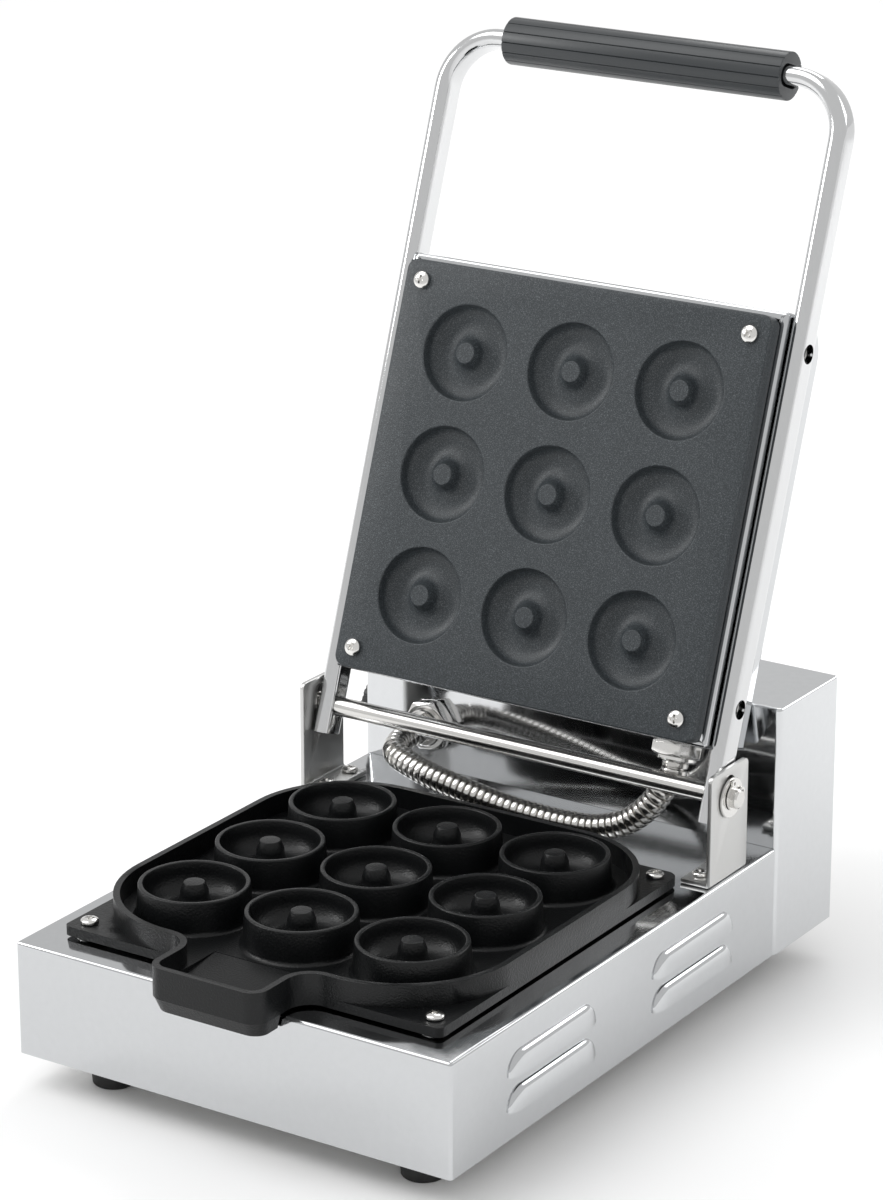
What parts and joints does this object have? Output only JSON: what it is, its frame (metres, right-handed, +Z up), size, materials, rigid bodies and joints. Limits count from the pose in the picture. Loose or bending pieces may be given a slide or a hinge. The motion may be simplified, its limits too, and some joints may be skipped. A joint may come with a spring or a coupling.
{
  "type": "donut maker",
  "caption": "Countertop donut maker with ring moulds in a lower tray, a hinged heated head lifted by a U-shaped handle, and a rear control box.",
  "frame": {"origin": "centre of the bounding box's footprint, on the surface the feet stand on, with the head open", "axes": "+X to the operator's right, -Y towards the operator and the spout, +Z up"},
  "size_m": [0.2838, 0.4238, 0.4874],
  "materials": {
    "stainless": "mirror-polished stainless sheet",
    "satin_steel": "satin stainless",
    "cast_tray": "black non-stick coating on cast alloy, pebbled",
    "cast_lid": "charcoal non-stick coating on cast alloy, fine speckle",
    "element": "oxidised sheath",
    "fastener": "bright nickel plate",
    "rubber": "matt black",
    "grip": "dark grey phenolic, satin",
    "conduit": "interlocked steel strip",
    "control_black": "moulded black",
    "lamp_green": "translucent green lens",
    "lamp_amber": "translucent amber lens",
    "ceramic": "unglazed porcelain",
    "insulation": "pressed mineral fibre"
  },
  "bodies": {
    "base": {"base_casing": "stainless", "bottom_plate": "satin_steel", "foot_1": "rubber", "foot_2": "rubber", "foot_3": "rubber", "foot_4": "rubber", "control_box": "stainless", "rear_panel": "satin_steel", "cord_inlet": "control_black", "timer_body": "control_black", "thermostat_body": "ceramic", "power_lamp": "lamp_green", "heat_lamp": "lamp_amber", "switch_housing": "control_black", "terminal_block": "ceramic", "terminal_rail": "satin_steel", "lower_tray": "cast_tray", "lower_heater_plate": "cast_tray", "lower_element": "element", "lower_heat_shield": "satin_steel", "standoff_1": "fastener", "tray_screw_1": "fastener", "standoff_2": "fastener", "tray_screw_2": "fastener", "standoff_3": "fastener", "tray_screw_3": "fastener", "standoff_4": "fastener", "tray_screw_4": "fastener", "bracket_left": "satin_steel", "bracket_screw_left_1": "fastener", "bracket_screw_left_2": "fastener", "bracket_right": "satin_steel", "bracket_screw_right_1": "fastener", "bracket_screw_right_2": "fastener", "box_gland": "fastener", "conduit_hose": "conduit"},
    "shaft_carrier": {"hinge_shaft": "satin_steel", "washer_left": "fastener", "circlip_left": "fastener", "washer_right": "fastener", "circlip_right": "fastener"},
    "head": {"head_plate": "cast_lid", "head_screw_1": "fastener", "head_screw_2": "fastener", "head_screw_3": "fastener", "head_screw_4": "fastener", "head_casing": "stainless", "head_element": "element", "head_clamp_plate": "satin_steel", "head_insulation": "insulation", "handle_frame": "stainless", "arm_bolt_left_1": "fastener", "arm_bolt_left_2": "fastener", "arm_bolt_right_1": "fastener", "arm_bolt_right_2": "fastener", "grip": "grip", "head_gland": "fastener"},
    "timer_dial": {"timer_knob": "control_black"},
    "thermostat_dial": {"thermostat_knob": "control_black"},
    "switch": {"switch_rocker": "control_black"}
  },
  "joints": [
    {"name": "shaft_float", "type": "slide", "parent": "base", "child": "shaft_carrier", "axis": [0, 0, 1], "range_m": [0, 0.006]},
    {"name": "head_hinge", "type": "hinge", "parent": "shaft_carrier", "child": "head", "pos_m": [0.0069, 0.07342, 0.1255], "axis": [1, 0, 0], "range_deg": [0, 109.8], "deforming": ["conduit_hose"]},
    {"name": "timer_turn", "type": "hinge", "parent": "base", "child": "timer_dial", "pos_m": [-0.1241, 0.15297, 0.137], "axis": [-1, 0, 0], "range_deg": [0, 300]},
    {"name": "thermostat_turn", "type": "hinge", "parent": "base", "child": "thermostat_dial", "pos_m": [-0.1241, 0.15297, 0.099], "axis": [-1, 0, 0], "range_deg": [0, 270]},
    {"name": "switch_rock", "type": "hinge", "parent": "base", "child": "switch", "pos_m": [-0.1241, 0.15297, 0.044], "axis": [0, 0, 1], "range_deg": [0, 14]}
  ]
}
